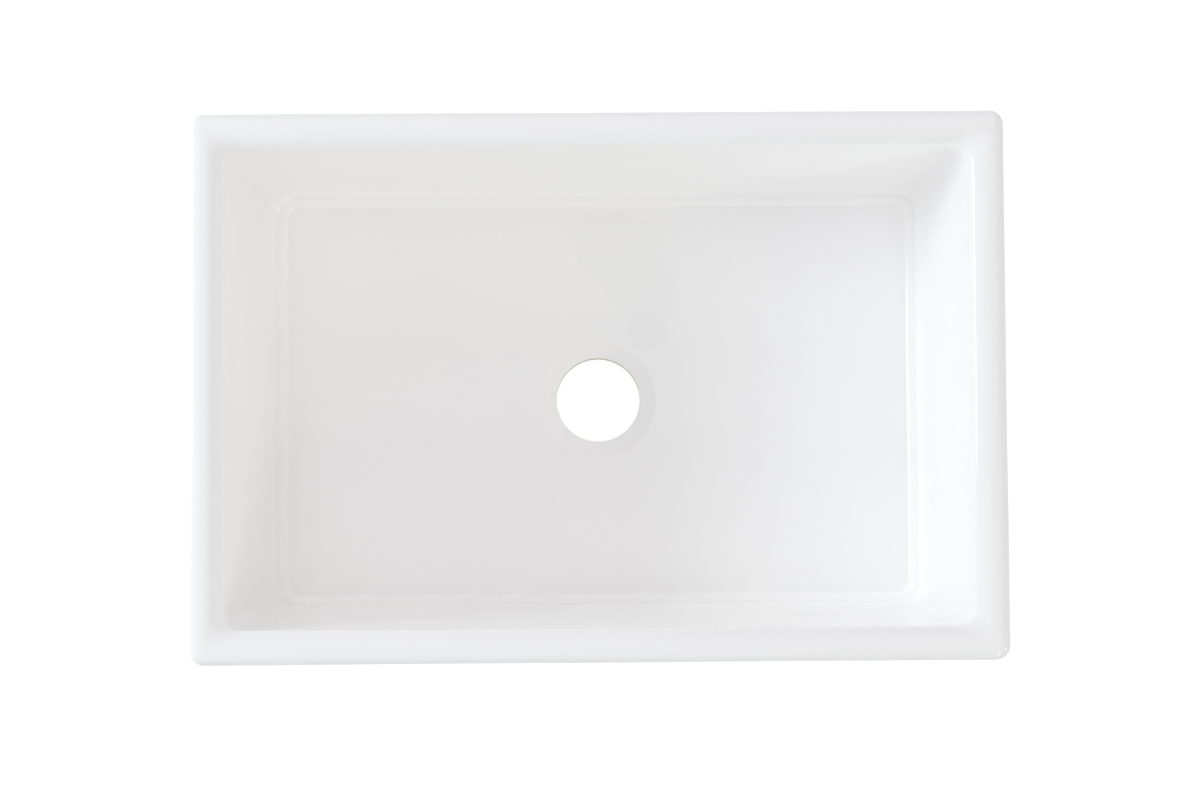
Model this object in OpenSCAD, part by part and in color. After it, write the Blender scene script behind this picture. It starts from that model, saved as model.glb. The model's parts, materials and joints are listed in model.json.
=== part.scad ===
// Butler sink: a rectangular fireclay sink with straight sides, a rounded rim all the way
// round and an open waste outlet in the middle of the floor.
// It has three fused layers: the fired clay body, the white slip that hides the clay, and
// the glaze. The slip and the glaze stop short of the foot, and the outlet's cut wall is bare.
// The origin is at the middle of the underside. X runs left to right, Y front to back and
// Z up. Sizes are in millimetres and angles in degrees.

/* [Overall] */
// Width over the rim, left to right
sink_w = 762; // [600:1:900]
// Depth over the rim, front to back
sink_d = 514; // [420:1:600]
// Height from the foot to the top of the rim
sink_h = 254; // [200:1:300]
// Radius of the upright outer corners, seen from above
corner_r = 14; // [14:0.5:40]

/* [Rim] */
// Width of the rim, from the outer face to the top of the basin wall
rim_w = 32.3; // [30:0.1:45]
// Radius of the rim's outer edge
rim_edge_r = 9; // [6:0.5:9]
// Radius of the rim's crown, on either side of its narrow level crest
crown_r = 22; // [14:0.5:22]
// How steep the crown gets before the outer edge takes over
crown_out = 20; // [12:1:22]
// How steep the crown gets before the inner edge takes over
crown_in = 40; // [20:1:45]
// Radius of the rim's inner edge, at the top of the basin wall
inner_edge_r = 3.5; // [2.5:0.5:6]

/* [Walls] */
// Lean of the outer faces: the foot is narrower than the rim
side_draft = 1.2; // [0:0.1:2]
// Lean of the basin walls: the floor is narrower than the mouth
wall_draft = 2.4; // [0.5:0.1:3]
// Radius of the basin's upright corners at the top of the wall
basin_corner_r = 28; // [24:0.5:45]

/* [Floor] */
// Thickness at the edge of the floor, measured up from the foot
floor_t = 32; // [28:0.5:45]
// Width of the sloping cove between the walls and the floor
cove_w = 10; // [6:0.5:14]
// Radius where the cove meets the wall and the floor
cove_r = 3.5; // [2:0.5:5]
// Slope of the cove between the two
cove_slope = 45; // [35:1:55]
// How far the floor falls from its edge to the middle
floor_fall = 3; // [1:0.5:5]

/* [Outlet] */
// Diameter of the waste outlet
outlet_d = 90; // [60:0.5:110]
// Diameter of the dished seat round the outlet
seat_d = 122; // [115:1:150]
// Drop of the dished seat from its edge to the outlet
seat_drop = 6; // [3:0.5:9]

/* [Underside] */
// Width of the flat band that the sink stands on
foot_band_w = 48; // [30:1:80]
// Height of the hollow inside the foot band
relief_h = 3; // [1:0.5:5]
// Corner radius of the hollow inside the foot band
relief_corner_r = 20; // [8:1:40]
// Bevel round the bottom edge of the foot
foot_bevel = 3; // [1:0.5:4]

/* [Coats] */
// Thickness of the white slip under the glaze
slip_t = 0.6; // [0.4:0.1:1.2]
// Thickness of the glaze
glaze_t = 0.9; // [0.5:0.1:1.5]
// Height of the bare clay at the foot, below the slip and the glaze
bare_foot_h = 5; // [4.5:0.5:10]

/* [Hidden] */
// Both coats together, which is how far the clay lies under the finished surface
coats_t = slip_t + glaze_t;
// Length by which a cutter runs past the face that it cuts
over = 5;
// Inside half-width and half-depth of the basin at the top of its walls
mouth_half_w = sink_w / 2 - rim_w;
mouth_half_d = sink_d / 2 - rim_w;
// The rim's inner side, in the section that is swept round the basin: the centre of the
// crown's arc, the centre of the inner edge's arc and the top of the wall
inner_reach = (crown_r - inner_edge_r) * sin(crown_in) + inner_edge_r * cos(wall_draft);
inner_crown_c = [basin_corner_r + inner_reach, sink_h - crown_r];
inner_edge_c = inner_crown_c + (crown_r - inner_edge_r) * heading(90 + crown_in);
wall_top = inner_edge_c - inner_edge_r * heading(-wall_draft);
// The cove in the same section: the run of its slope, and the centres of its two arcs
cove_run = cove_w - cove_r * cos(wall_draft);
cove_rise = cove_run * tan(cove_slope);
cove_top_z = floor_t + cove_rise + cove_r * (1 - sin(wall_draft));
cove_low_c = [
    wall_top.x - (wall_top.y - cove_top_z) * tan(wall_draft) - cove_w,
    floor_t + cove_r
];
cove_high_c = cove_low_c + [cove_run, cove_rise];
// Half-width and half-depth of the falling part of the floor, inside the floor's level edge
fall_half_w = mouth_half_w - basin_corner_r + 0.6 * cove_low_c.x;
fall_half_d = mouth_half_d - basin_corner_r + 0.6 * cove_low_c.x;
// Slope of the dished seat
seat_slope = atan(seat_drop / ((seat_d - outlet_d) / 2));
// The rim's outer side, in the section that is swept round the outside: the centre of the
// crown's arc and the centre of the outer edge's arc
outer_reach = (crown_r - rim_edge_r) * sin(crown_out) + rim_edge_r;
outer_crown_c = [corner_r - outer_reach, sink_h - crown_r];
edge_c = outer_crown_c + (crown_r - rim_edge_r) * heading(90 - crown_out);
// Roundness of the circles
$fn = 96;

// A unit step in the direction of an angle
function heading(angle) = [cos(angle), sin(angle)];

// A slice of a disc between two directions
module disc_slice(centre, r, from, to) {
    intersection() {
        translate(centre)
            circle(r);
        polygon([centre, centre + 2 * r * heading(from), centre + 2 * r * heading(to)]);
    }
}

// Sweep a section round a rectangle with round corners. The corners turn about the points
// (+-half_w, +-half_d), and the block between them runs from z_low to z_high.
module sweep_round(half_w, half_d, z_low, z_high) {
    translate([-half_w, -half_d, z_low])
        cube([2 * half_w, 2 * half_d, z_high - z_low]);
    for (side = [0, 1]) {
        for (turn = [0, 180]) {
            out = side == 0 ? half_w : half_d;
            run = side == 0 ? half_d : half_w;
            rotate([0, 0, 90 * side + turn])
                translate([out, 0, 0])
                rotate([90, 0, 0])
                linear_extrude(2 * run, center = true)
                children();
            rotate([0, 0, 90 * side + turn])
                translate([out, run, 0])
                rotate_extrude(angle = 90)
                children();
        }
    }
}

// Section of the outside, drawn in from the finished surface by inset
module outer_section(inset) {
    edge = rim_edge_r - inset;
    crown = crown_r - inset;
    side_top = edge_c + edge * heading(-side_draft);
    foot_u = side_top.x - side_top.y * tan(side_draft);
    bevel_u = foot_u + foot_bevel * tan(side_draft);
    polygon([
        [0, 0],
        [foot_u - foot_bevel, 0],
        [bevel_u, foot_bevel],
        side_top,
        edge_c + edge * heading(90 - crown_out),
        outer_crown_c + [0, crown],
        [0, sink_h - inset]
    ]);
    disc_slice(edge_c, edge, -side_draft, 90 - crown_out);
    disc_slice(outer_crown_c, crown, 90 - crown_out, 90);
}

// Section of the space inside the basin, deeper than the finished surface by inset
module basin_section(inset) {
    cove = cove_r + inset;
    edge = inner_edge_r - inset;
    crown = crown_r - inset;
    floor_z = floor_t - inset;
    difference() {
        union() {
            polygon([
                [0, floor_z],
                [cove_low_c.x, floor_z],
                cove_low_c + cove * heading(cove_slope - 90),
                cove_high_c + cove * heading(cove_slope - 90),
                cove_high_c + cove * heading(-wall_draft),
                inner_edge_c - edge * heading(-wall_draft),
                inner_edge_c + edge * heading(90 + crown_in),
                inner_crown_c + [0, crown],
                [inner_crown_c.x, sink_h + over],
                [0, sink_h + over]
            ]);
            disc_slice(cove_low_c, cove, -90, cove_slope - 90);
            disc_slice(cove_high_c, cove, cove_slope - 90, -wall_draft);
        }
        disc_slice(inner_edge_c, edge, 90 + crown_in, 180 - wall_draft);
        disc_slice(inner_crown_c, crown, 90, 90 + crown_in);
    }
}

// The outside as a solid block
module outer_block(inset) {
    sweep_round(sink_w / 2 - corner_r, sink_d / 2 - corner_r, 0, sink_h - inset)
        outer_section(inset);
}

// The basin's space
module basin_space(inset) {
    half_w = mouth_half_w - basin_corner_r;
    half_d = mouth_half_d - basin_corner_r;
    sweep_round(half_w, half_d, floor_t - inset, sink_h + over)
        basin_section(inset);
}

// The four shallow planes by which the floor falls to the middle
module floor_fall_space(inset) {
    top_z = floor_t - inset;
    intersection() {
        rotate([90, 0, 0])
            linear_extrude(2 * fall_half_d, center = true)
            fall_triangle(fall_half_w, top_z);
        rotate([90, 0, 90])
            linear_extrude(2 * fall_half_w, center = true)
            fall_triangle(fall_half_d, top_z);
    }
}

// Section of the fall along one direction, with room above it
module fall_triangle(half, top_z) {
    polygon([
        [-half, top_z],
        [0, top_z - floor_fall],
        [half, top_z],
        [half, top_z + over],
        [-half, top_z + over]
    ]);
}

// The dished seat round the outlet, carried on upwards at its own slope until it is clear of
// the floor
module seat_space(inset) {
    rim_z = floor_t - floor_fall - inset / cos(seat_slope);
    rise = floor_fall + over;
    translate([0, 0, rim_z - seat_drop])
        cylinder(h = seat_drop + rise, d1 = outlet_d, d2 = seat_d + 2 * rise / tan(seat_slope));
}

// The outlet's hole, straight through the floor
module outlet_hole() {
    translate([0, 0, -over])
        cylinder(h = floor_t + 2 * over, d = outlet_d);
}

// The hollow inside the foot band, so that the sink stands on its edges
module underside_relief() {
    foot_in = (edge_c.y * tan(side_draft)) + foot_band_w;
    half_w = sink_w / 2 - foot_in;
    half_d = sink_d / 2 - foot_in;
    translate([0, 0, -over])
        linear_extrude(relief_h + over)
        union() {
            square([2 * half_w, 2 * (half_d - relief_corner_r)], center = true);
            square([2 * (half_w - relief_corner_r), 2 * half_d], center = true);
            for (x = [-1, 1]) {
                for (y = [-1, 1]) {
                    translate([x * (half_w - relief_corner_r), y * (half_d - relief_corner_r)])
                        circle(relief_corner_r);
                }
            }
        }
}

// The whole sink, with every finished surface drawn in by inset
module sink_shape(inset) {
    difference() {
        outer_block(inset);
        basin_space(inset);
        floor_fall_space(inset);
        seat_space(inset);
        outlet_hole();
    }
}

// One coat, between two depths under the finished surface. It stops above the bare foot.
module coat(from, to) {
    difference() {
        sink_shape(from);
        sink_shape(to);
        translate([-sink_w, -sink_d, -over])
            cube([2 * sink_w, 2 * sink_d, bare_foot_h + over]);
    }
}

// The fired clay, cast in one piece
module fireclay_body() {
    color("#d9c6a5")
        difference() {
            sink_shape(coats_t);
            underside_relief();
        }
}

// The white slip that hides the colour of the clay
module slip_coat() {
    color("#f0ebe0")
        coat(glaze_t, coats_t);
}

// The glossy white glaze
module glaze_coat() {
    color("#f5f5f3")
        coat(0, glaze_t);
}

fireclay_body();
slip_coat();
glaze_coat();
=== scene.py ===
# %% [markdown]
# # A butler sink in fired clay, white slip and glaze
#
# The real sink is one big casting. Liquid clay sets in a plaster mould, the dry shape gets a
# thin coat of white slip and then a coat of glaze, and the kiln fuses all three. Everything
# that the eye sees is the glaze, except at the foot and inside the outlet, where the clay is
# bare. So this lesson makes three closed skins that nest inside one another, and puts most of
# its care into the glaze: its slow waviness, its gloss and its few small flaws.
#
# All lengths are in metres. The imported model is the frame: its boxes and its mounts say where
# everything goes, and nothing here moves or resizes it.

# %% Load the frame
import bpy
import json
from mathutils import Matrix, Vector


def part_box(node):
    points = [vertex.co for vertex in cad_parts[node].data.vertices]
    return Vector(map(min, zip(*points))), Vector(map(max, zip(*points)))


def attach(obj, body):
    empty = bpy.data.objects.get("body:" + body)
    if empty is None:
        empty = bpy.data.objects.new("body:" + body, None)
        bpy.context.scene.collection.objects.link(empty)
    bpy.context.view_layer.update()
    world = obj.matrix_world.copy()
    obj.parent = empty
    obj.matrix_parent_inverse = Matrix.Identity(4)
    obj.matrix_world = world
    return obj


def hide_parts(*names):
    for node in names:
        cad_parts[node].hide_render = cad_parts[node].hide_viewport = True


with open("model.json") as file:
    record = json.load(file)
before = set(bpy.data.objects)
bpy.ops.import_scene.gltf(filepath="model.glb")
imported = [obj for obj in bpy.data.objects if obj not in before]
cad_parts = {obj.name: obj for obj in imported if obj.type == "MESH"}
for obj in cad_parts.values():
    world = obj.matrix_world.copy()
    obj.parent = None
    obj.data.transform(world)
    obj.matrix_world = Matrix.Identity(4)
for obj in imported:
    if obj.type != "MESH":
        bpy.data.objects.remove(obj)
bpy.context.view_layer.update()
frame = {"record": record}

# %% Tools used below
import json
import math

import bpy
import numpy as np
from mathutils import Vector, noise

MM = 0.001

# %% [markdown]
# ## The driving sizes
#
# The overall sizes come from the frame, and the outlet's radius from its mount. The other
# sizes are those of the mould: how wide the rim is, how round its two edges are, how much the
# walls lean so that the casting leaves the mould, and how round the cove at the floor is.

# %% Sizes
glaze_low, glaze_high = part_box("glaze_coat")
RIM_Z = glaze_high.z
HALF_W = glaze_high.x
HALF_D = glaze_high.y
MOUNTS = {mount["name"]: mount for mount in frame["record"]["mounts"]}
OUTLET_R = MOUNTS["waste_outlet"]["dims"]["r_mm"] * MM
RELIEF_Z = MOUNTS["waste_underside"]["pos_m"][2]

CORNER_R = 14 * MM
RIM_W = 32.3 * MM
RIM_EDGE_R = 9 * MM
CROWN_R = 22 * MM
CROWN_OUT = math.radians(20)
CROWN_IN = math.radians(46)
INNER_EDGE_R = 6 * MM
SIDE_LEAN = math.radians(1.2)
WALL_LEAN = math.radians(1.8)
CREST_CORNER_R = 11 * MM
MOUTH_CORNER_R = 18 * MM
WALL_CORNER_R = 23 * MM
FLOOR_Z = 32 * MM
COVE_W = 11.3 * MM
COVE_R = 1.6 * MM
# Bends of the cove from the floor's edge up: radius in millimetres (less than 0 where the bend
# bulges), and the tilt in degrees at its start and at its end
COVE_BENDS = ((2.5, 0, 46), (-9, 46, 34), (-3, 34, 20))
FLOOR_FALL = 3 * MM
SEAT_R = 61 * MM
SEAT_DROP = 6 * MM
FOOT_BAND_W = 48 * MM
FOOT_BEVEL = 3 * MM
RELIEF_CORNER_R = 20 * MM
GLAZE_T = 0.9 * MM
SLIP_T = 0.6 * MM
BARE_FOOT_H = glaze_low.z
print(f"rim {2 * HALF_W:.3f} x {2 * HALF_D:.3f}, height {RIM_Z:.3f}, outlet radius {OUTLET_R:.3f}")

# %% [markdown]
# ## A ring that every level shares
#
# A sink like this is a stack of rounded rectangles. If every level has the same number of
# points in the same order, two levels always join with plain four-sided faces. Each point is
# kept as two things: where it sits on the rectangle that the corners turn about (from -1 to 1
# each way), and which way it faces. A ring of any size is then one line of arithmetic.

# %% The shared ring
CORNER_STEPS = 18
SIDE_STEPS = 84
END_STEPS = 56


def ring_plan():
    """Where each point of a ring sits on the corner rectangle, and the way it faces."""
    seats, facings = [], []
    for quarter in range(4):
        start = quarter * math.pi / 2
        corner = [(1, 1), (-1, 1), (-1, -1), (1, -1)][quarter]
        for step in range(CORNER_STEPS):
            angle = start + step / CORNER_STEPS * math.pi / 2
            seats.append(corner)
            facings.append((math.cos(angle), math.sin(angle)))
        along_x = quarter % 2 == 0
        steps = SIDE_STEPS if along_x else END_STEPS
        facing = (round(math.cos(start + math.pi / 2)), round(math.sin(start + math.pi / 2)))
        for step in range(steps):
            slide = 1 - 2 * step / steps
            if along_x:
                seats.append((corner[0] * slide, corner[1]))
            else:
                seats.append((corner[0], corner[1] * slide))
            facings.append(facing)
    return np.array(seats, float), np.array(facings, float)


SEATS, FACINGS = ring_plan()
RING_N = len(SEATS)
print("points in a ring:", RING_N)

# %% [markdown]
# ## The section of the finished surface
#
# The mould maker thinks of the sink as a section drawn on paper and swept round. A station is
# one spot on that section: its ring's half-sizes and corner radius, its height, and the way
# the surface faces there, which is what lets us find the slip and the clay under the glaze.
# The list starts at the foot, climbs the outside, rolls over the rim, runs down the basin
# wall, round the cove, in across the floor and down the dished seat to the outlet.

# %% Stations
# Steps along each stretch of the section, from the foot to the outlet
OUTSIDE_STEPS = 26
EDGE_STEPS = 12
OUTER_CROWN_STEPS = 6
INNER_CROWN_STEPS = 10
INNER_EDGE_STEPS = 8
WALL_STEPS = 26
BEND_STEPS = 5
COVE_STEPS = 9
FLOOR_STEPS = 40
SEAT_EDGE_STEPS = 32
SEAT_STEPS = 14
# Share of the wall or floor by which its first level stands back from its edge
EDGE_SHARE = 0.004


class Station:
    """One level of the finished surface."""

    def __init__(self, half, corner_r, z, face_out, face_up, sway=1.0, sink_only=False):
        self.half = half
        self.corner_r = corner_r
        self.z = z
        self.face_out = face_out
        self.face_up = face_up
        self.sway = sway
        self.sink_only = sink_only

    def points(self):
        """The ring's points before any unevenness."""
        inner = np.array(self.half) - self.corner_r
        flat = SEATS * inner + FACINGS * self.corner_r
        return np.column_stack([flat, np.full(RING_N, self.z)])

    def normals(self):
        """The way the surface faces at each point."""
        return np.column_stack([FACINGS * self.face_out, np.full(RING_N, self.face_up)])


def outside_station(u, z, out, up, sway=1.0):
    """A level of the outside, u outward of the points that the outer corners turn about."""
    half = (HALF_W - CORNER_R + u, HALF_D - CORNER_R + u)
    return Station(half, u, z, out, up, sway, sink_only=True)


def basin_station(reach, corner_r, z, out, up, sway=1.0):
    """A level of the basin, whose walls stand back from the mouth's by reach."""
    half = (HALF_W - RIM_W + reach, HALF_D - RIM_W + reach)
    return Station(half, corner_r, z, out, up, sway)


def heading(angle):
    """A unit step in the direction of an angle, in the section."""
    return np.array([math.cos(angle), math.sin(angle)])


def spread(first, last, steps):
    """Evenly spaced values from first to last, both included."""
    return [first + (last - first) * step / steps for step in range(steps + 1)]


def arc(centre, radius, first, last, steps, skip=1):
    """Places along an arc of the section, and the way out of the arc at each."""
    ways = [heading(angle) for angle in spread(first, last, steps)]
    return [(centre + radius * way, way) for way in ways[skip:]]


# %% [markdown]
# ### Up the outside and over the rim
#
# The outer face leans in a little towards the foot. The rim rolls over in two arcs: a small
# one at the outer edge, and a much larger one for the crown, which ends level at the crest.

# %% Outside and rim
UPRIGHT = math.pi / 2
outer_reach = (CROWN_R - RIM_EDGE_R) * math.sin(CROWN_OUT) + RIM_EDGE_R
outer_crown_centre = np.array([CORNER_R - outer_reach, RIM_Z - CROWN_R])
edge_centre = outer_crown_centre + (CROWN_R - RIM_EDGE_R) * heading(UPRIGHT - CROWN_OUT)
side_top_u, side_top_z = edge_centre + RIM_EDGE_R * heading(-SIDE_LEAN)
# The kiln moves the foot least: its unevenness grows over this height
FOOT_STEADY_H = 30 * MM


def side_u(z):
    """How far out the outer face is at a height."""
    return side_top_u - (side_top_z - z) * math.tan(SIDE_LEAN)


def outside_stations():
    """From the bare foot to the crest of the rim."""
    made = []
    for z in spread(BARE_FOOT_H, side_top_z, OUTSIDE_STEPS):
        steady = min(1.0, (z - BARE_FOOT_H) / FOOT_STEADY_H)
        made.append(outside_station(side_u(z), z, *heading(-SIDE_LEAN), steady))
    turn = UPRIGHT - CROWN_OUT
    rolled = arc(edge_centre, RIM_EDGE_R, -SIDE_LEAN, turn, EDGE_STEPS)
    rolled += arc(outer_crown_centre, CROWN_R, turn, UPRIGHT, OUTER_CROWN_STEPS)
    for (u, z), way in rolled:
        made.append(outside_station(u, z, *way))
    return made


# %% [markdown]
# ### Down into the basin
#
# From the crest the crown carries on towards the basin until it is quite steep, and a tight
# arc then turns it down into the wall. On its steep part the crown mirrors the window, which
# draws the long bright line on the right. Beside the floor runs a cove: a low ridge with a
# steep foot, a band that rises gently, and a tight arc into the wall. The ridge's foot and the
# arc draw two fine lines.
#
# The upright corners get rounder on the way down, because the glaze runs together there.

# %% Basin wall and cove
inner_reach = (CROWN_R - INNER_EDGE_R) * math.sin(CROWN_IN) + INNER_EDGE_R * math.cos(WALL_LEAN)
inner_crown_centre = np.array([inner_reach, RIM_Z - CROWN_R])
inner_edge_centre = inner_crown_centre + (CROWN_R - INNER_EDGE_R) * heading(UPRIGHT + CROWN_IN)
wall_top = inner_edge_centre - INNER_EDGE_R * heading(-WALL_LEAN)


def basin_facing(tilt):
    """The way the basin's surface faces where it is tilted up towards the wall."""
    return np.array([-math.sin(tilt), math.cos(tilt)])


def cove_places():
    """Places and tilts up the cove, measured from the edge of the floor."""
    places = [(np.array([0.0, 0.0]), 0.0)]
    for radius, low, high in COVE_BENDS:
        low, high, radius = math.radians(low), math.radians(high), radius * MM
        centre = places[-1][0] + radius * basin_facing(low)
        tilts = spread(low, high, BEND_STEPS)[1:]
        places += [(centre - radius * basin_facing(tilt), tilt) for tilt in tilts]
    place, slope = places[-1]
    steepest = UPRIGHT - WALL_LEAN
    band_end = COVE_W - COVE_R * (math.sin(steepest) - math.sin(slope))
    band_top = place + heading(slope) * (band_end - place[0]) / math.cos(slope)
    centre = band_top + COVE_R * basin_facing(slope)
    tilts = spread(slope, steepest, COVE_STEPS)
    places += [(centre - COVE_R * basin_facing(tilt), tilt) for tilt in tilts]
    return places


COVE = cove_places()
wall_low_z = FLOOR_Z + COVE[-1][0][1]
wall_low = np.array([-(wall_top[1] - wall_low_z) * math.tan(WALL_LEAN), wall_low_z])
floor_edge_reach = wall_low[0] - COVE_W
FLOOR_CORNER_R = WALL_CORNER_R - COVE_W


def basin_stations():
    """From the crest of the rim to the edge of the floor."""
    made = []
    turn = UPRIGHT + CROWN_IN
    rolled = arc(inner_crown_centre, CROWN_R, UPRIGHT, turn, INNER_CROWN_STEPS, skip=0)
    rolled += arc(inner_edge_centre, INNER_EDGE_R, turn, math.pi - WALL_LEAN, INNER_EDGE_STEPS)
    for (reach, z), way in rolled:
        share = reach / inner_reach
        corner_r = MOUTH_CORNER_R * (1 - share) + CREST_CORNER_R * share
        made.append(basin_station(reach, corner_r, z, *way))
    for share in [EDGE_SHARE] + spread(0, 1, WALL_STEPS)[1:-1] + [1 - EDGE_SHARE]:
        reach, z = wall_top * (1 - share) + wall_low * share
        corner_r = MOUTH_CORNER_R * (1 - share) + WALL_CORNER_R * share
        made.append(basin_station(reach, corner_r, z, *-heading(-WALL_LEAN)))
    for (run, rise), tilt in reversed(COVE):
        reach, z = floor_edge_reach + run, FLOOR_Z + rise
        made.append(basin_station(reach, FLOOR_CORNER_R + run, z, *basin_facing(tilt)))
    return made


# %% [markdown]
# ### Across the floor and down the seat
#
# The floor is a rectangle at its edge and a circle at the outlet, so its rings change shape on
# the way in. Each point slides along a straight line to the centre, which keeps the faces tidy
# all the way. The height comes from a formula: the floor falls gently towards the middle, and
# within the seat it drops faster. A soft minimum blends the two without a crease. Just inside
# the seat's edge is a small step, which the cutter left and which catches the light.

# %% Floor and seat
FLOOR_EDGE = (HALF_W - RIM_W + floor_edge_reach, HALF_D - RIM_W + floor_edge_reach)
SEAT_SLOPE = SEAT_DROP / (SEAT_R - OUTLET_R)
SEAT_BLEND = 0.07 * MM
SEAT_LINE_R = 59.4 * MM
SEAT_LINE_W = 0.9 * MM
SEAT_LINE_DROP = 0.35 * MM
LIP_R = 1.1 * MM
# The rings are round from here in, and closest together between the two radii after it
SEAT_START_R = SEAT_R + 7 * MM
SEAT_EDGE_OUT_R = SEAT_R + 2 * MM
SEAT_EDGE_IN_R = SEAT_R - 3 * MM
# How square the floor's level lines are: 2 is an ellipse
FLOOR_SQUARENESS = 6


def floor_height(x, y):
    """Height of the finished floor and seat at a place."""
    across, along = np.abs(x) / FLOOR_EDGE[0], np.abs(y) / FLOOR_EDGE[1]
    reach = (across ** FLOOR_SQUARENESS + along ** FLOOR_SQUARENESS) ** (1 / FLOOR_SQUARENESS)
    fall = FLOOR_Z - FLOOR_FALL * (1 - np.minimum(reach, 1))
    seat = FLOOR_Z - FLOOR_FALL - (SEAT_R - np.hypot(x, y)) * SEAT_SLOPE
    gap = fall - seat
    dished = (fall + seat) / 2 - np.sqrt(gap ** 2 / 4 + SEAT_BLEND ** 2)
    past = np.clip((SEAT_LINE_R - np.hypot(x, y)) / SEAT_LINE_W + 0.5, 0, 1)
    return dished - SEAT_LINE_DROP * past ** 2 * (3 - 2 * past)


class FloorStation(Station):
    """A floor ring, part of the way from the floor's edge to a circle round the outlet."""

    def __init__(self, share, radius, sway=1.0):
        super().__init__(FLOOR_EDGE, FLOOR_CORNER_R, FLOOR_Z, 0.0, 1.0, sway)
        self.share = share
        self.radius = radius

    def points(self):
        edge = SEATS * (np.array(self.half) - self.corner_r) + FACINGS * self.corner_r
        angle = np.arctan2(edge[:, 1], edge[:, 0])
        circle = np.column_stack([np.cos(angle), np.sin(angle)]) * self.radius
        flat = edge * (1 - self.share) + circle * self.share
        return np.column_stack([flat, floor_height(flat[:, 0], flat[:, 1])])


def floor_stations():
    """From the edge of the floor to the lip of the outlet."""
    shares = [EDGE_SHARE] + spread(0, 1, FLOOR_STEPS)[1:]
    made = [FloorStation(share, SEAT_START_R) for share in shares]
    radii = spread(SEAT_START_R, SEAT_EDGE_OUT_R, BEND_STEPS)[1:-1]
    radii += spread(SEAT_EDGE_OUT_R, SEAT_EDGE_IN_R, SEAT_EDGE_STEPS)
    radii += spread(SEAT_EDGE_IN_R, OUTLET_R + LIP_R, SEAT_STEPS)[1:]
    for radius in radii:
        steady = (radius - OUTLET_R) / (SEAT_START_R - OUTLET_R)
        made.append(FloorStation(1, radius, steady))
    return made


OUTSIDE = outside_stations()
BASIN = basin_stations()
FLOOR = floor_stations()
FINISHED = OUTSIDE + BASIN + FLOOR
print("stations:", len(OUTSIDE), "outside,", len(BASIN), "basin,", len(FLOOR), "floor")

# %% [markdown]
# ## Unevenness from the kiln
#
# Big fireclay pieces move in the kiln, so no line on them is quite straight. Two sizes of slow
# noise push each point along the way it faces. The outside and the rim may only be pushed
# inwards, because the finished sink must stay inside the model's box.

# %% Unevenness
SLOW_SWAY = 0.45 * MM
SLOW_LENGTH = 0.16
QUICK_SWAY = 0.05 * MM
QUICK_LENGTH = 0.05
QUICK_OFFSET = Vector((7.0, 3.0, 5.0))


def sway(points):
    """How far the kiln moved each point, from -1 to 1 times the two sways."""
    moved = np.empty(len(points))
    for index, point in enumerate(points):
        slow = noise.noise(Vector(point) / SLOW_LENGTH)
        quick = noise.noise(Vector(point) / QUICK_LENGTH + QUICK_OFFSET)
        moved[index] = SLOW_SWAY * slow + QUICK_SWAY * quick
    return moved


def finished_rings():
    """Each station's points on the finished surface, and the way they face."""
    rings = []
    for station in FINISHED:
        points, normals = station.points(), station.normals()
        moved = sway(points)
        if station.sink_only:
            moved -= SLOW_SWAY + QUICK_SWAY
        elif station.face_up > 0:
            moved -= (SLOW_SWAY + QUICK_SWAY) * station.face_up * (station.z > wall_top[1])
        rings.append((points + normals * (moved * station.sway)[:, None], normals))
    return rings


RINGS = finished_rings()
print("finished rings:", len(RINGS))

# %% [markdown]
# ## Closing the skins
#
# A coat is the space between two depths under the finished surface. Its section is a closed
# loop: out along one depth, back along the other. Sweeping a closed loop round the sink gives
# a closed mesh with no open edge, which is what a printer or a simulation needs.

# %% Loft helper
SHARP_FROM = math.radians(40)


def loft(name, rings):
    """A closed mesh through rings of points, with the last ring joined to the first."""
    count = len(rings)
    vertices = np.vstack(rings)
    faces = []
    for level in range(count):
        here, there = level * RING_N, ((level + 1) % count) * RING_N
        for point in range(RING_N):
            after = (point + 1) % RING_N
            faces.append((here + point, here + after, there + after, there + point))
    mesh = bpy.data.meshes.new(name)
    mesh.from_pydata(vertices.tolist(), [], faces)
    mesh.validate()
    face_outwards(mesh)
    mesh.shade_smooth()
    mesh.set_sharp_from_angle(angle=SHARP_FROM)
    piece = bpy.data.objects.new(name, mesh)
    bpy.context.scene.collection.objects.link(piece)
    print(f"{name}: {len(vertices)} points, {len(faces)} faces")
    return piece


def face_outwards(mesh):
    """Turn the faces round if the mesh's volume comes out negative."""
    mesh.calc_loop_triangles()
    corners = np.array([vertex.co for vertex in mesh.vertices])
    triangles = np.array([triangle.vertices for triangle in mesh.loop_triangles])
    a, b, c = (corners[triangles[:, k]] for k in range(3))
    volume = np.einsum("ij,ij->i", a, np.cross(b, c)).sum() / 6
    if volume < 0:
        mesh.flip_normals()
    print(f"  volume {abs(volume) * 1000:.2f} litres")


def depth_rings(depth):
    """The finished surface moved into the sink by a depth."""
    rings = []
    for station, (points, normals) in zip(FINISHED, RINGS):
        if isinstance(station, FloorStation):
            slope = SEAT_SLOPE if station.share == 1 and station.radius < SEAT_R else 0
            moved = points - np.array([0, 0, depth * math.hypot(1, slope)])
        else:
            moved = points - normals * depth
        rings.append(moved)
    rings[0][:, 2] = BARE_FOOT_H
    return rings


def outlet_ring(drop_from, depth):
    """A ring on the cut wall of the outlet, at a depth under the ring before it."""
    angle = np.arctan2(drop_from[:, 1], drop_from[:, 0])
    circle = np.column_stack([np.cos(angle), np.sin(angle)]) * OUTLET_R
    return np.column_stack([circle, drop_from[:, 2] - depth])


# %% [markdown]
# ### The glaze
#
# At the outlet the glaze was cut through while raw and melted back a little in the kiln, so it
# ends in a small soft lip instead of a sharp edge. At the foot it was wiped away with a sponge.

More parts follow.
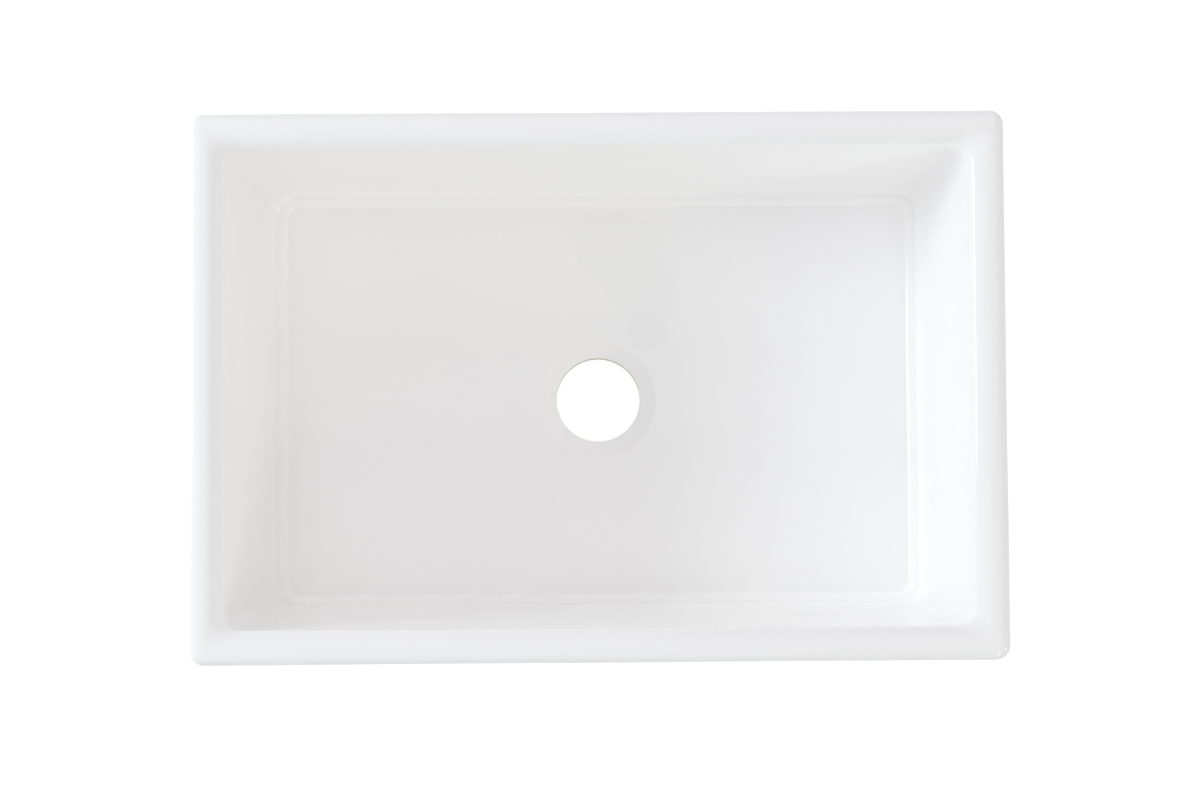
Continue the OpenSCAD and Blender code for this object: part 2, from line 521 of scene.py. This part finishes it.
# %% Glaze and slip
# Share of the glaze's thickness that its lip rounds off, and the lip's fall along the seat
LIP_ROUND = 0.6
LIP_FALL = LIP_R * SEAT_SLOPE


def lip_rings(surface):
    """The soft lip where a coat ends at the outlet."""
    rings = []
    last = surface[-1]
    outward = last[:, :2] / np.linalg.norm(last[:, :2], axis=1)[:, None]
    for angle in spread(0, UPRIGHT, BEND_STEPS)[1:]:
        radius = OUTLET_R + LIP_R * (1 - math.sin(angle))
        rounded = LIP_ROUND * GLAZE_T * (1 - math.cos(angle))
        fall = rounded + (OUTLET_R + LIP_R - radius) * SEAT_SLOPE
        rings.append(np.column_stack([outward * radius, last[:, 2] - fall]))
    return rings


def coat(name, shallow, deep, soft_lip):
    """A coat between two depths, from the bare foot to the outlet."""
    top, bottom = depth_rings(shallow), depth_rings(deep)
    end = lip_rings(top) if soft_lip else [outlet_ring(top[-1], LIP_FALL)]
    under = outlet_ring(bottom[-1], LIP_FALL)
    return loft(name, top + end + [under] + bottom[::-1])


glaze = coat("white_glaze_skin", 0.0, GLAZE_T, soft_lip=True)
slip = coat("white_slip_skin", GLAZE_T, GLAZE_T + SLIP_T, soft_lip=False)

# %% [markdown]
# ### The fired clay
#
# The clay fills everything under the coats. Its loop follows the surface at the coats' depth,
# turns down the cut wall of the outlet, crosses the hollow of the underside, steps down to the
# flat band that the sink stands on, and climbs the bevelled foot back to the start.

# %% Clay body
COATS_T = GLAZE_T + SLIP_T
foot_half = (HALF_W - CORNER_R + side_u(0) - COATS_T, HALF_D - CORNER_R + side_u(0) - COATS_T)
# Small roundings of the foot, and how much wider the outlet is at its lower end
EASE = 1.0 * MM
HOLLOW_FLARE = 0.6 * MM
OUTLET_FLARE = 0.5 * MM
HOLLOW_STEPS = 14


def plain_ring(half, corner_r, z):
    """A ring of a plain rounded rectangle."""
    flat = SEATS * (np.array(half) - corner_r) + FACINGS * corner_r
    return np.column_stack([flat, np.full(RING_N, z)])


def underside_rings():
    """From the outlet's lower edge out to the foot and up its bevel."""
    band_in = FOOT_BAND_W + side_top_z * math.tan(SIDE_LEAN)
    hollow = (HALF_W - band_in, HALF_D - band_in)
    start = plain_ring(hollow, RELIEF_CORNER_R, RELIEF_Z)
    circle = outlet_ring(start, 0)
    circle[:, :2] *= (OUTLET_R + OUTLET_FLARE) / OUTLET_R
    circle[:, 2] = RELIEF_Z + 2 * EASE
    eased = circle.copy()
    eased[:, :2] *= (OUTLET_R + OUTLET_FLARE + EASE) / (OUTLET_R + OUTLET_FLARE)
    eased[:, 2] = RELIEF_Z
    rings = [circle, eased]
    for share in spread(0, 1, HOLLOW_STEPS)[1:-1]:
        rings.append(eased * (1 - share) + start * share)
    rings.append(start)
    flared = [size + HOLLOW_FLARE for size in hollow]
    rings.append(plain_ring(flared, RELIEF_CORNER_R + HOLLOW_FLARE, 0))
    corner = CORNER_R - COATS_T - side_top_z * math.tan(SIDE_LEAN)
    bevel = ((FOOT_BEVEL + EASE, 0), (FOOT_BEVEL, 0.1 * EASE), (0.3 * EASE, FOOT_BEVEL - EASE))
    for inward, z in bevel:
        half = [size - inward for size in foot_half]
        rings.append(plain_ring(half, corner - inward, z))
    return rings


def clay_body():
    """The casting under the coats."""
    top = depth_rings(COATS_T)
    cut_wall = outlet_ring(top[-1], LIP_FALL)
    return loft("fired_clay_body", top + [cut_wall] + underside_rings())


clay = clay_body()

# %% [markdown]
# ## Where the pieces belong
#
# Nothing on the sink moves, so each piece rides on the one body. Each skin stands for the
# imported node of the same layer, and takes its finish from that layer's slot.

# %% Ride, replace, slot
for piece, node, slot in (
    (glaze, "glaze_coat", "white_glaze"),
    (slip, "slip_coat", "white_slip"),
    (clay, "fireclay_body", "bare_fireclay"),
):
    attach(piece, "root")
    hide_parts(node)
    print(piece.name, "stands for", node)

# %% [markdown]
# ## Finishes
#
# Each finish is a small net of nodes. A few helpers keep the nets short: one makes a node and
# fills its sockets, one makes noise at a real size, and one turns a value into a soft step.


# %% Node helpers
class Net:
    """A material's nodes, with short ways to add to them."""

    def __init__(self, name):
        self.material = bpy.data.materials.new(name)
        self.material.use_nodes = True
        self.tree = self.material.node_tree
        self.shader = self.tree.nodes["Principled BSDF"]
        self.place = self.add("ShaderNodeTexCoord").outputs["Object"]

    def add(self, kind, **settings):
        made = self.tree.nodes.new(kind)
        for key, value in settings.items():
            setattr(made, key, value)
        return made

    def join(self, source, target):
        self.tree.links.new(source, target)

    def noise(self, size, detail=2.0, rough=0.5, stretch=(1, 1, 1)):
        """Noise whose lumps are about size across, in metres."""
        mapping = self.add("ShaderNodeMapping")
        mapping.inputs["Scale"].default_value = stretch
        self.join(self.place, mapping.inputs["Vector"])
        made = self.add("ShaderNodeTexNoise")
        made.inputs["Scale"].default_value = 1 / size
        made.inputs["Detail"].default_value = detail
        made.inputs["Roughness"].default_value = rough
        self.join(mapping.outputs["Vector"], made.inputs["Vector"])
        return made.outputs["Fac"]

    def dots(self, spacing):
        """Distance to scattered spots, as a share of their spacing."""
        made = self.add("ShaderNodeTexVoronoi")
        made.inputs["Scale"].default_value = 1 / spacing
        self.join(self.place, made.inputs["Vector"])
        return made.outputs["Distance"]

    def step(self, value, low, high, out_low=0.0, out_high=1.0):
        """A smooth step of a value from one range to another."""
        made = self.add("ShaderNodeMapRange", interpolation_type="SMOOTHSTEP")
        made.inputs["From Min"].default_value = low
        made.inputs["From Max"].default_value = high
        made.inputs["To Min"].default_value = out_low
        made.inputs["To Max"].default_value = out_high
        self.join(value, made.inputs["Value"])
        return made.outputs["Result"]

    def maths(self, kind, *values):
        made = self.add("ShaderNodeMath", operation=kind)
        for index, value in enumerate(values):
            if isinstance(value, (int, float)):
                made.inputs[index].default_value = value
            else:
                self.join(value, made.inputs[index])
        return made.outputs["Value"]

    def blend(self, share, first, second):
        """Mix two colours, each a tuple or a socket."""
        made = self.add("ShaderNodeMix", data_type="RGBA")
        self.join(share, made.inputs["Factor"])
        for name, value in (("A", first), ("B", second)):
            socket = [s for s in made.inputs if s.name == name and s.type == "RGBA"][0]
            if isinstance(value, tuple):
                socket.default_value = (*value, 1)
            else:
                self.join(value, socket)
        return [s for s in made.outputs if s.type == "RGBA"][0]

    def bump(self, height, distance, under=None):
        made = self.add("ShaderNodeBump")
        made.inputs["Distance"].default_value = distance
        self.join(height, made.inputs["Height"])
        if under is not None:
            self.join(under, made.inputs["Normal"])
        return made.outputs["Normal"]


# %% [markdown]
# ### White glaze
#
# Glaze on a big sink is glossy but never optically flat. From close by it shows a slow ripple,
# pinholes where a bubble broke, and dark marks where metal was dragged over the rim. The basin
# is a full white, and its colour also holds painted light and shade: painted light makes the
# cove and the foot of the wall whiter, where shade falls in the corner, and painted shade makes
# the crown and inner edge of the rim a touch cooler and greyer. On the floor lies a faint patch.

# %% White glaze
GLAZE_WHITE = (0.961, 0.960, 0.958)
GLAZE_DEEP = (0.951, 0.950, 0.949)
# Painted shade: the crown and inner edge of the rim, greyer and cooler
RIM_PAINTED_SHADE = (0.875, 0.879, 0.889)
# Painted light: the cove and the foot of the wall, whiter
COVE_PAINTED_LIGHT = (0.986, 0.985, 0.982)
# A faint patch on the floor, a touch darker than the glaze round it
GLAZE_PATCH = (0.935, 0.938, 0.936)
PINHOLE = (0.30, 0.26, 0.22)
METAL_MARK = (0.36, 0.32, 0.36)
MARK_STRENGTH = 0.45
MARK_GRAIN = 2.2 * MM
# Marks on the rim and in the basin: place, turn in degrees, length and width in millimetres
MARKS = [
    (-363, 240, 42, 7, 0.5), (-361, 240, -50, 3, 0.5), (-366, 237, 80, 4, 0.4),
    (-295, 245, 3, 15, 0.5), (-319, 248, -40, 5, 0.4), (-274, 247, 50, 4, 0.6),
    (-274, 245, -55, 4, 0.6), (-312, 237, 75, 4, 0.6), (362, 240, -50, 5, 0.6),
    (366, 235, -55, 4, 0.8), (-363, -227, 85, 7, 0.5), (-362, -231, 60, 3, 0.5),
    (360, -228, 10, 2, 1.2), (229, 68, 18, 22, 0.6), (240, 62, 8, 13, 0.5),
    (219, 62, 25, 8, 0.4),
]
# Parts of the floor's patch: place, turn in degrees, half-width and half-depth in millimetres
PATCH = [
    (9, 184, -4, 50, 17), (0, 157, 30, 22, 30), (45, 128, 24, 36, 54), (54, 73, -20, 22, 20),
]
# How far noise moves the patch's outline, how big its bays are, and where its edge fades
PATCH_RAGGED = 1.9
PATCH_BAYS = 30 * MM
PATCH_FADE = (1.88, 2.0)
# Sizes of the glaze's slow ripple, its fine peel and its pinholes, each with its height
RIPPLE_SIZE, RIPPLE_H = 28 * MM, 0.015 * MM
PEEL_SIZE, PEEL_H = 6 * MM, 0.002 * MM
PINHOLE_SPACING, PINHOLE_H = 30 * MM, 0.2 * MM
PINHOLE_EDGE = (0.008, 0.017)
# Sizes of the slow changes in its tone and in its gloss, and how rough it is
CLOUD_SIZE, GLOSS_SIZE = 220 * MM, 90 * MM
GLAZE_ROUGHNESS = (0.035, 0.065)
PATCH_ROUGHER = 0.03
GLAZE_IOR = 1.52


def height(net):
    """Height above the foot."""
    split = net.add("ShaderNodeSeparateXYZ")
    net.join(net.place, split.inputs["Vector"])
    return split.outputs["Z"]


def rim_painted_shade(net):
    """Painted shade on the rim: 1 on the crown of the rim, 0 on the walls."""
    return net.step(height(net), RIM_Z - 13 * MM, RIM_Z - 5 * MM)


def cove_painted_light(net):
    """Painted light in the cove: 1 there, falling to 0 up the wall and on the floor."""
    above_floor = net.step(height(net), FLOOR_Z - 0.2 * MM, FLOOR_Z + 0.6 * MM)
    below_wall = net.step(height(net), FLOOR_Z + 6 * MM, FLOOR_Z + 60 * MM, 1.0, 0.0)
    return net.maths("MULTIPLY", above_floor, below_wall)


def oval_reach(net, x, y, turn, half_w, half_d):
    """How far a spot is from the middle of a turned oval: 1 at its edge. Sizes in millimetres."""
    mapping = net.add("ShaderNodeMapping", vector_type="TEXTURE")
    mapping.inputs["Location"].default_value = (x * MM, y * MM, 0)
    mapping.inputs["Rotation"].default_value = (0, 0, math.radians(turn))
    net.join(net.place, mapping.inputs["Vector"])
    stretched = net.add("ShaderNodeVectorMath", operation="MULTIPLY")
    stretched.inputs[1].default_value = (1 / (half_w * MM), 1 / (half_d * MM), 0)
    net.join(mapping.outputs["Vector"], stretched.inputs[0])
    length = net.add("ShaderNodeVectorMath", operation="LENGTH")
    net.join(stretched.outputs["Vector"], length.inputs[0])
    return length.outputs["Value"]


def marks(net):
    """Where metal has left a mark: 1 on a mark, broken up along its length."""
    found = 0.0
    for x, y, turn, length, width in MARKS:
        reach = oval_reach(net, x, y, turn, length / 2, width / 2)
        found = net.maths("MAXIMUM", found, net.step(reach, 0.55, 1.0, 1.0, 0.0))
    return net.maths("MULTIPLY", found, net.step(net.noise(MARK_GRAIN, 2), 0.42, 0.58))


def floor_patch(net):
    """Where the faint patch lies on the floor: 1 inside it, fading out at its ragged edge."""
    far_away = 9.0
    reach = far_away
    for part in PATCH:
        reach = net.maths("MINIMUM", reach, oval_reach(net, *part))
    ragged = net.maths("MULTIPLY_ADD", net.noise(PATCH_BAYS, 9, 0.72), PATCH_RAGGED, reach)
    return net.step(ragged, *PATCH_FADE, 1.0, 0.0)


def white_glaze():
    net = Net("white_glaze")
    cloud = net.step(net.noise(CLOUD_SIZE, 3), 0.35, 0.65)
    colour = net.blend(cloud, GLAZE_WHITE, GLAZE_DEEP)
    # Painted shade on the rim's crown and inner edge
    colour = net.blend(rim_painted_shade(net), colour, RIM_PAINTED_SHADE)
    # Painted light in the cove and at the foot of the wall
    colour = net.blend(cove_painted_light(net), colour, COVE_PAINTED_LIGHT)
    patch = floor_patch(net)
    colour = net.blend(patch, colour, GLAZE_PATCH)
    pinholes = net.step(net.dots(PINHOLE_SPACING), *PINHOLE_EDGE, 1.0, 0.0)
    colour = net.blend(pinholes, colour, PINHOLE)
    colour = net.blend(net.maths("MULTIPLY", marks(net), MARK_STRENGTH), colour, METAL_MARK)
    net.join(colour, net.shader.inputs["Base Color"])
    gloss = net.step(net.noise(GLOSS_SIZE, 4), 0.3, 0.7, *GLAZE_ROUGHNESS)
    rough = net.maths("MULTIPLY_ADD", patch, PATCH_ROUGHER, gloss)
    net.join(rough, net.shader.inputs["Roughness"])
    net.shader.inputs["IOR"].default_value = GLAZE_IOR
    ripple = net.bump(net.noise(RIPPLE_SIZE, 1.5), RIPPLE_H)
    peel = net.bump(net.noise(PEEL_SIZE, 1), PEEL_H, ripple)
    pits = net.bump(net.maths("SUBTRACT", 1, pinholes), PINHOLE_H, peel)
    net.join(pits, net.shader.inputs["Normal"])
    return net.material


# %% [markdown]
# ### White slip and fired clay
#
# The slip shows only as a hairline between the clay and the glaze, dull and creamy. The clay is
# buff, with darker grains of ground pot in it, iron specks, and a slightly dragged surface where
# it was sponged and set on the kiln shelf.

# %% White slip and fired clay
SLIP_PALE = (0.78, 0.74, 0.66)
SLIP_DARK = (0.70, 0.65, 0.55)
CLAY_DARK = (0.62, 0.49, 0.34)
CLAY_PALE = (0.70, 0.59, 0.44)
POT_GRAIN = (0.50, 0.37, 0.24)
IRON_SPECK = (0.16, 0.09, 0.05)
SLIP_ROUGHNESS = (0.6, 0.8)
CLAY_ROUGHNESS = (0.78, 0.93)
SPECK_SPACING = 7 * MM
# Sizes of the slip's grain, the clay's grain and the sponge's drag, each with its height
SLIP_GRAIN, SLIP_GRAIN_H = 1.2 * MM, 0.04 * MM
CLAY_GRAIN, CLAY_GRAIN_H = 1.8 * MM, 0.15 * MM
DRAG_SIZE, DRAG_H = 30 * MM, 0.4 * MM
# Noise drawn out to four times its length, left to right
DRAG_STRETCH = (0.25, 1, 1)


def white_slip():
    net = Net("white_slip")
    tone = net.step(net.noise(4 * MM, 3), 0.3, 0.7)
    net.join(net.blend(tone, SLIP_PALE, SLIP_DARK), net.shader.inputs["Base Color"])
    rough = net.step(net.noise(2 * MM, 2), 0.3, 0.7, *SLIP_ROUGHNESS)
    net.join(rough, net.shader.inputs["Roughness"])
    net.join(net.bump(net.noise(SLIP_GRAIN, 2), SLIP_GRAIN_H), net.shader.inputs["Normal"])
    return net.material


def fired_clay():
    net = Net("bare_fireclay")
    blush = net.step(net.noise(130 * MM, 4, 0.6), 0.35, 0.65)
    colour = net.blend(blush, CLAY_DARK, CLAY_PALE)
    grains = net.step(net.noise(2.2 * MM, 3, 0.65), 0.55, 0.68)
    colour = net.blend(grains, colour, POT_GRAIN)
    specks = net.step(net.dots(SPECK_SPACING), 0.05, 0.12, 1.0, 0.0)
    colour = net.blend(specks, colour, IRON_SPECK)
    net.join(colour, net.shader.inputs["Base Color"])
    rough = net.step(net.noise(20 * MM, 3), 0.3, 0.7, *CLAY_ROUGHNESS)
    net.join(rough, net.shader.inputs["Roughness"])
    drag = net.bump(net.noise(DRAG_SIZE, 3, 0.6, DRAG_STRETCH), DRAG_H)
    grain = net.bump(net.noise(CLAY_GRAIN, 3, 0.7), CLAY_GRAIN_H, drag)
    net.join(grain, net.shader.inputs["Normal"])
    return net.material


for piece, material in ((glaze, white_glaze()), (slip, white_slip()), (clay, fired_clay())):
    piece.data.materials.clear()
    piece.data.materials.append(material)
    print(piece.name, "is finished in", material.name)

# %% [markdown]
# ## The stage
#
# The sink stands on a plain white floor under soft light. To the camera and in reflections the
# floor is plain white and the sky a pale grey, while to the sink they are ordinary light. A small
# share of the floor's shading is kept, so that the sink still throws its soft shadow.

# %% Floor
FLOOR_HALF = 4.0
FLOOR_GLOW = 0.90
FLOOR_TONE = 0.22
FLOOR_GREY = 0.5
FLOOR_ROUGHNESS = 0.9
FLOOR_DROP = 0.2 * MM


def floor_material():
    net = Net("stage_floor")
    nodes, links = net.tree.nodes, net.tree.links
    net.shader.inputs["Base Color"].default_value = (FLOOR_GREY, FLOOR_GREY, FLOOR_GREY, 1)
    net.shader.inputs["Roughness"].default_value = FLOOR_ROUGHNESS
    seen = net.add("ShaderNodeLightPath")
    seen_any = net.maths("MAXIMUM", seen.outputs["Is Camera Ray"], seen.outputs["Is Glossy Ray"])
    seen_any = net.maths("MAXIMUM", seen_any, seen.outputs["Is Transmission Ray"])
    shade = net.add("ShaderNodeBsdfDiffuse")
    shade.inputs["Color"].default_value = (FLOOR_TONE, FLOOR_TONE, FLOOR_TONE, 1)
    glow = net.add("ShaderNodeEmission")
    glow.inputs["Strength"].default_value = FLOOR_GLOW
    white = net.add("ShaderNodeAddShader")
    links.new(shade.outputs[0], white.inputs[0])
    links.new(glow.outputs[0], white.inputs[1])
    pick = net.add("ShaderNodeMixShader")
    links.new(seen_any, pick.inputs[0])
    links.new(net.shader.outputs[0], pick.inputs[1])
    links.new(white.outputs[0], pick.inputs[2])
    links.new(pick.outputs[0], nodes["Material Output"].inputs["Surface"])
    return net.material


def make_floor():
    mesh = bpy.data.meshes.new("stage_floor")
    size = FLOOR_HALF
    corners = [(-size, -size), (size, -size), (size, size), (-size, size)]
    mesh.from_pydata([(x, y, -FLOOR_DROP) for x, y in corners], [], [(0, 1, 2, 3)])
    floor = bpy.data.objects.new("stage_floor", mesh)
    bpy.context.scene.collection.objects.link(floor)
    mesh.materials.append(floor_material())


make_floor()
print("floor at", -FLOOR_DROP)

# %% [markdown]
# ## The light
#
# The photograph has a window to the left and slightly behind the sink, low enough that the left
# wall shades half of the floor, and an even pale light from everywhere else. The world gives the
# second, and lamps give the first and what else the photograph's light and shade ask for.

# %% Sky
SKY_LEVEL = 0.665
SKY_TINT = (0.976, 0.976, 1.0)
SKY_SEEN = 0.8


def make_sky():
    world = bpy.data.worlds.new("studio_sky")
    bpy.context.scene.world = world
    world.use_nodes = True
    nodes, links = world.node_tree.nodes, world.node_tree.links
    sky = nodes["Background"]
    sky.inputs["Color"].default_value = (*SKY_TINT, 1)
    sky.inputs["Strength"].default_value = SKY_LEVEL
    plain = nodes.new("ShaderNodeBackground")
    plain.inputs["Color"].default_value = (SKY_SEEN, SKY_SEEN, SKY_SEEN, 1)
    seen = nodes.new("ShaderNodeLightPath")
    either = nodes.new("ShaderNodeMath")
    either.operation = "MAXIMUM"
    links.new(seen.outputs["Is Camera Ray"], either.inputs[0])
    links.new(seen.outputs["Is Glossy Ray"], either.inputs[1])
    pick = nodes.new("ShaderNodeMixShader")
    links.new(either.outputs[0], pick.inputs[0])
    links.new(sky.outputs[0], pick.inputs[1])
    links.new(plain.outputs[0], pick.inputs[2])
    links.new(pick.outputs[0], nodes["World Output"].inputs["Surface"])


make_sky()
print("sky level", SKY_LEVEL)

# %% [markdown]
# In a deep white basin, light goes from wall to wall many times before it is spent, so the
# path tracer has to follow it for longer than it usually does.

# %% Bounces in the basin
BOUNCES = 12
bpy.context.scene.cycles.diffuse_bounces = BOUNCES
bpy.context.scene.cycles.max_bounces = BOUNCES + 4
print("bounces", BOUNCES)

# %% [markdown]
# ## The lamps
#
# The window is two lamps in one place: one that only lights, and a lower one that only shows
# in the gloss, where it draws the fine bright line along the right side of the rim. A second
# such pair stands at the front right. The three wide lamps are soft light from the room.


# %% Lamps
def add_lamp(name, place, aim, size, power, tint, job):
    """A rectangular lamp of a given size in metres, turned towards a point.

    Its job is "soft" where it only lights, or "glint" where it only shows in the gloss.
    """
    light = bpy.data.lights.new(name, "AREA")
    light.shape = "RECTANGLE"
    light.size, light.size_y = size
    light.energy = power
    light.color = tint
    lamp = bpy.data.objects.new(name, light)
    lamp.location = place
    lamp.visible_glossy = job == "glint"
    lamp.visible_diffuse = job == "soft"
    lamp.rotation_euler = (Vector(aim) - Vector(place)).to_track_quat("-Z", "Y").to_euler()
    bpy.context.scene.collection.objects.link(lamp)
    print(name, "at", place)


RIM_CENTRE = (0, 0, RIM_Z)
DAYLIGHT = (0.92, 0.97, 1.0)
WARM = (1.0, 0.57, 0.33)
GREENISH = (0.86, 1.0, 0.78)
PLAIN = (1.0, 0.96, 0.97)
# Each lamp: degrees round from the left towards the back, degrees up, size, watts, tint and job
LAMPS = {
    "window": (9, 20, (0.95, 0.5), 39.4, DAYLIGHT, "soft"),
    "window_glint": (9, 21, (0.95, 0.27), 7, DAYLIGHT, "glint"),
    "right_wash": (180, 38, (1.2, 1.2), 4.2, WARM, "soft"),
    "front_strip": (222, 27, (1.6, 0.5), 9.5, GREENISH, "soft"),
    "front_glint": (222, 27, (2.4, 0.3), 27, PLAIN, "glint"),
    "front_wash": (270, 38, (1.2, 1.2), 10.3, PLAIN, "soft"),
    "back_wash": (90, 38, (1.2, 1.2), 12.2, PLAIN, "soft"),
}
LAMPS_AWAY = 3.2


def lamp_place(round_from_left, up, away):
    """A place at a distance from the middle of the rim."""
    turn, rise = math.radians(round_from_left), math.radians(up)
    level = away * math.cos(rise)
    return (-level * math.cos(turn), level * math.sin(turn), RIM_Z + away * math.sin(rise))


for lamp_name, (round_from_left, up, size, power, tint, job) in LAMPS.items():
    place = lamp_place(round_from_left, up, LAMPS_AWAY)
    add_lamp(lamp_name, place, RIM_CENTRE, size, power, tint, job)

# %% [markdown]
# ## The camera
#
# The camera looks almost straight down from about 1.37 m above the rim, a little towards the
# front. Its place and tilt were worked out from the photograph's straight edges and from the
# outlet. The lens shift stands for the way that the photograph was cropped.

# %% Camera
FRAME_PX = (1200, 800)
FOCAL_PX = 1480
CENTRE_PX = (604.0, 449.1)
CAMERA_FROM_RIM = Vector((-0.0045, -0.0911, 1.3672))
CAMERA_TILT = [math.radians(angle) for angle in (-1.366, 0.365, 0.411)]


def make_camera():
    lens = bpy.data.cameras.new("photo_camera")
    lens.sensor_width = 36
    lens.lens = FOCAL_PX / FRAME_PX[0] * lens.sensor_width
    lens.shift_x = (FRAME_PX[0] / 2 - CENTRE_PX[0]) / FRAME_PX[0]
    lens.shift_y = (CENTRE_PX[1] - FRAME_PX[1] / 2) / FRAME_PX[0]
    lens.clip_start = 0.01
    camera = bpy.data.objects.new("photo_camera", lens)
    bpy.context.scene.collection.objects.link(camera)
    camera.location = CAMERA_FROM_RIM + Vector(RIM_CENTRE)
    camera.rotation_euler = [-tilt for tilt in CAMERA_TILT]
    bpy.context.scene.camera = camera
    print("lens", round(lens.lens, 1), "mm, shift", round(lens.shift_x, 4), round(lens.shift_y, 4))


make_camera()
bpy.context.scene.view_settings.view_transform = "Standard"
